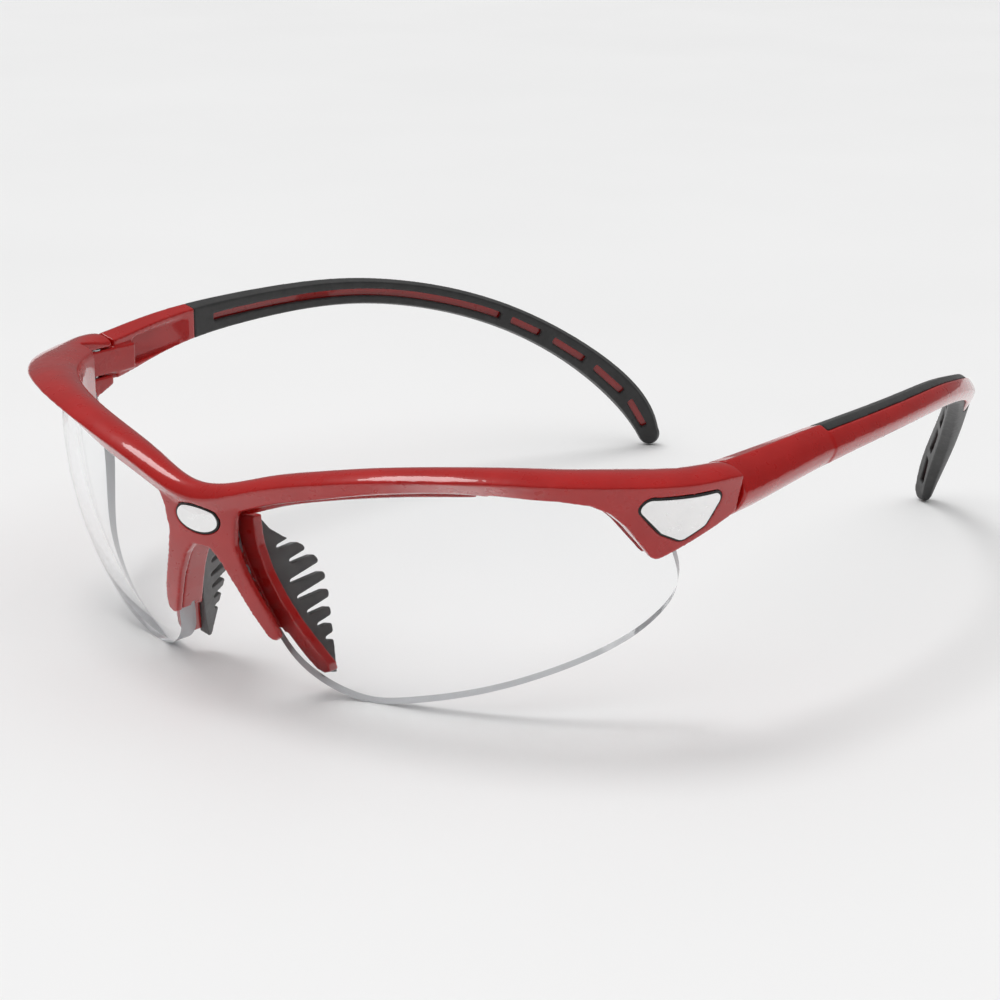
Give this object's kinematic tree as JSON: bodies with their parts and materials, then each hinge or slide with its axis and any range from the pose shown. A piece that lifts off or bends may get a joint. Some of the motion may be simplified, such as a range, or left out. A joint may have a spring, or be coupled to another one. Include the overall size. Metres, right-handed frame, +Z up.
{
  "type": "sports protective glasses",
  "caption": "Half-rim wraparound eye protection: brow frame with clear dual lenses, ribbed rubber nose pads and curved folding temples with soft grips.",
  "frame": {"origin": "on the surface the glasses stand on, below the middle of their bounding box", "axes": "+Z up, -Y the wearer's forward direction, +X the wearer's left, X = 0 the plane of symmetry"},
  "size_m": [0.139, 0.1598, 0.0397],
  "materials": {
    "red_gloss": "clear-coated candy red over injection moulded nylon",
    "clear_lens": "optically clear hard-coated polycarbonate",
    "black_rubber": "matte soft-touch elastomer",
    "silver": "satin silver inlay",
    "black_foam": "matte black adhesive bezel",
    "screw_steel": "plain steel"
  },
  "bodies": {
    "front": {"front_frame": "red_gloss", "bridge_badge": "silver", "bridge_badge_tape": "black_foam", "left_lens": "clear_lens", "left_nose_arm": "red_gloss", "left_nose_pad": "black_rubber", "left_badge": "silver", "left_badge_tape": "black_foam", "left_hinge_screw": "screw_steel", "left_hinge_washer": "screw_steel", "right_lens": "clear_lens", "right_nose_arm": "red_gloss", "right_nose_pad": "black_rubber", "right_badge": "silver", "right_badge_tape": "black_foam", "right_hinge_screw": "screw_steel", "right_hinge_washer": "screw_steel"},
    "left_temple": {"left_temple_core": "red_gloss", "left_temple_grip": "black_rubber"},
    "right_temple": {"right_temple_core": "red_gloss", "right_temple_grip": "black_rubber"}
  },
  "joints": [
    {"name": "left_hinge", "type": "hinge", "parent": "front", "child": "left_temple", "pos_m": [0.0625, -0.04037, 0.0341], "axis": [0, 0, 1], "range_deg": [0, 77]},
    {"name": "right_hinge", "type": "hinge", "parent": "front", "child": "right_temple", "pos_m": [-0.0625, -0.04037, 0.0341], "axis": [0, 0, -1], "range_deg": [0, 66]}
  ]
}
